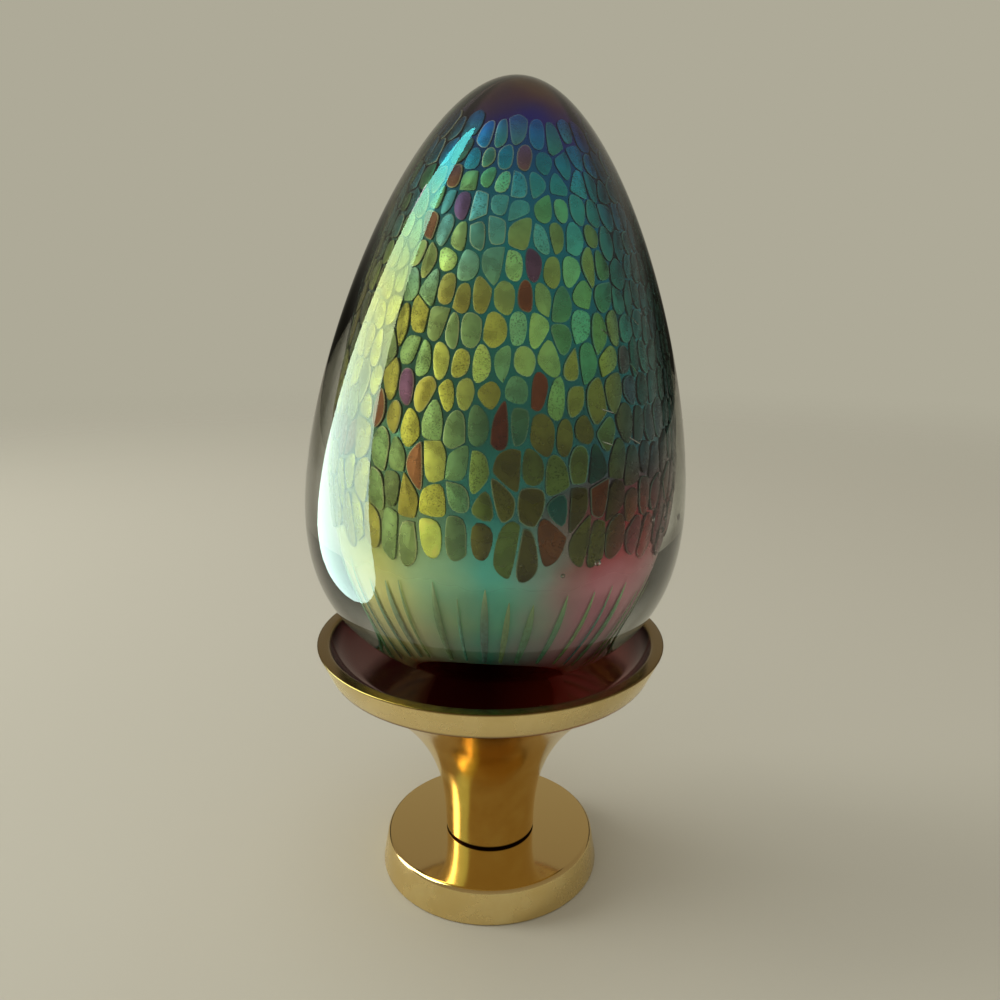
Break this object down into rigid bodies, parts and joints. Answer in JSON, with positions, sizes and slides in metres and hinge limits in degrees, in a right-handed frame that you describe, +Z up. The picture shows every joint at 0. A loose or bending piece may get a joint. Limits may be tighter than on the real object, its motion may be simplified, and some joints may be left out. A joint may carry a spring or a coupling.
{
  "type": "decorative egg on stand",
  "caption": "Tall glass egg with a chip-covered iridescent body inside clear glass, resting in the dish of a turned brass pedestal.",
  "frame": {"origin": "centre of the base's underside, on the surface that the stand rests on", "axes": "+Z up along the stand's axis; +X is the side towards which the egg leans; the pictured side faces -Y"},
  "size_m": [0.0733, 0.0732, 0.1559],
  "materials": {
    "base_brass": "cast and turned brass, top face polished, side satin",
    "stem_brass": "turned and highly polished brass",
    "dish_brass": "turned brass, satin wall, polished hollow, bronzed rim",
    "screw_steel": "zinc plated steel",
    "washer_steel": "zinc plated steel",
    "clear_glass": "fire polished clear glass",
    "ruby_glass": "dark ruby glass",
    "lustre_glass": "silvered iridescent lustre on glass",
    "thread_glass": "drawn coloured glass under clear glass",
    "green_glass": "yellow-green glass flakes",
    "olive_glass": "olive glass flakes",
    "teal_glass": "blue-green glass flakes",
    "rust_glass": "rust brown glass flakes",
    "plum_glass": "plum glass flakes"
  },
  "bodies": {
    "stand": {"base": "base_brass", "stem": "stem_brass", "dish": "dish_brass", "tie_screw": "screw_steel", "washer": "washer_steel"},
    "egg": {"clear_casing": "clear_glass", "ruby_core": "ruby_glass", "lustre_ground": "lustre_glass", "drawn_threads": "thread_glass", "green_chips": "green_glass", "olive_chips": "olive_glass", "teal_chips": "teal_glass", "rust_chips": "rust_glass", "plum_chips": "plum_glass"}
  },
  "joints": [
    {"name": "egg_lift", "type": "slide", "parent": "stand", "child": "egg", "axis": [0, 0, 1], "range_m": [0, 0.045]}
  ]
}
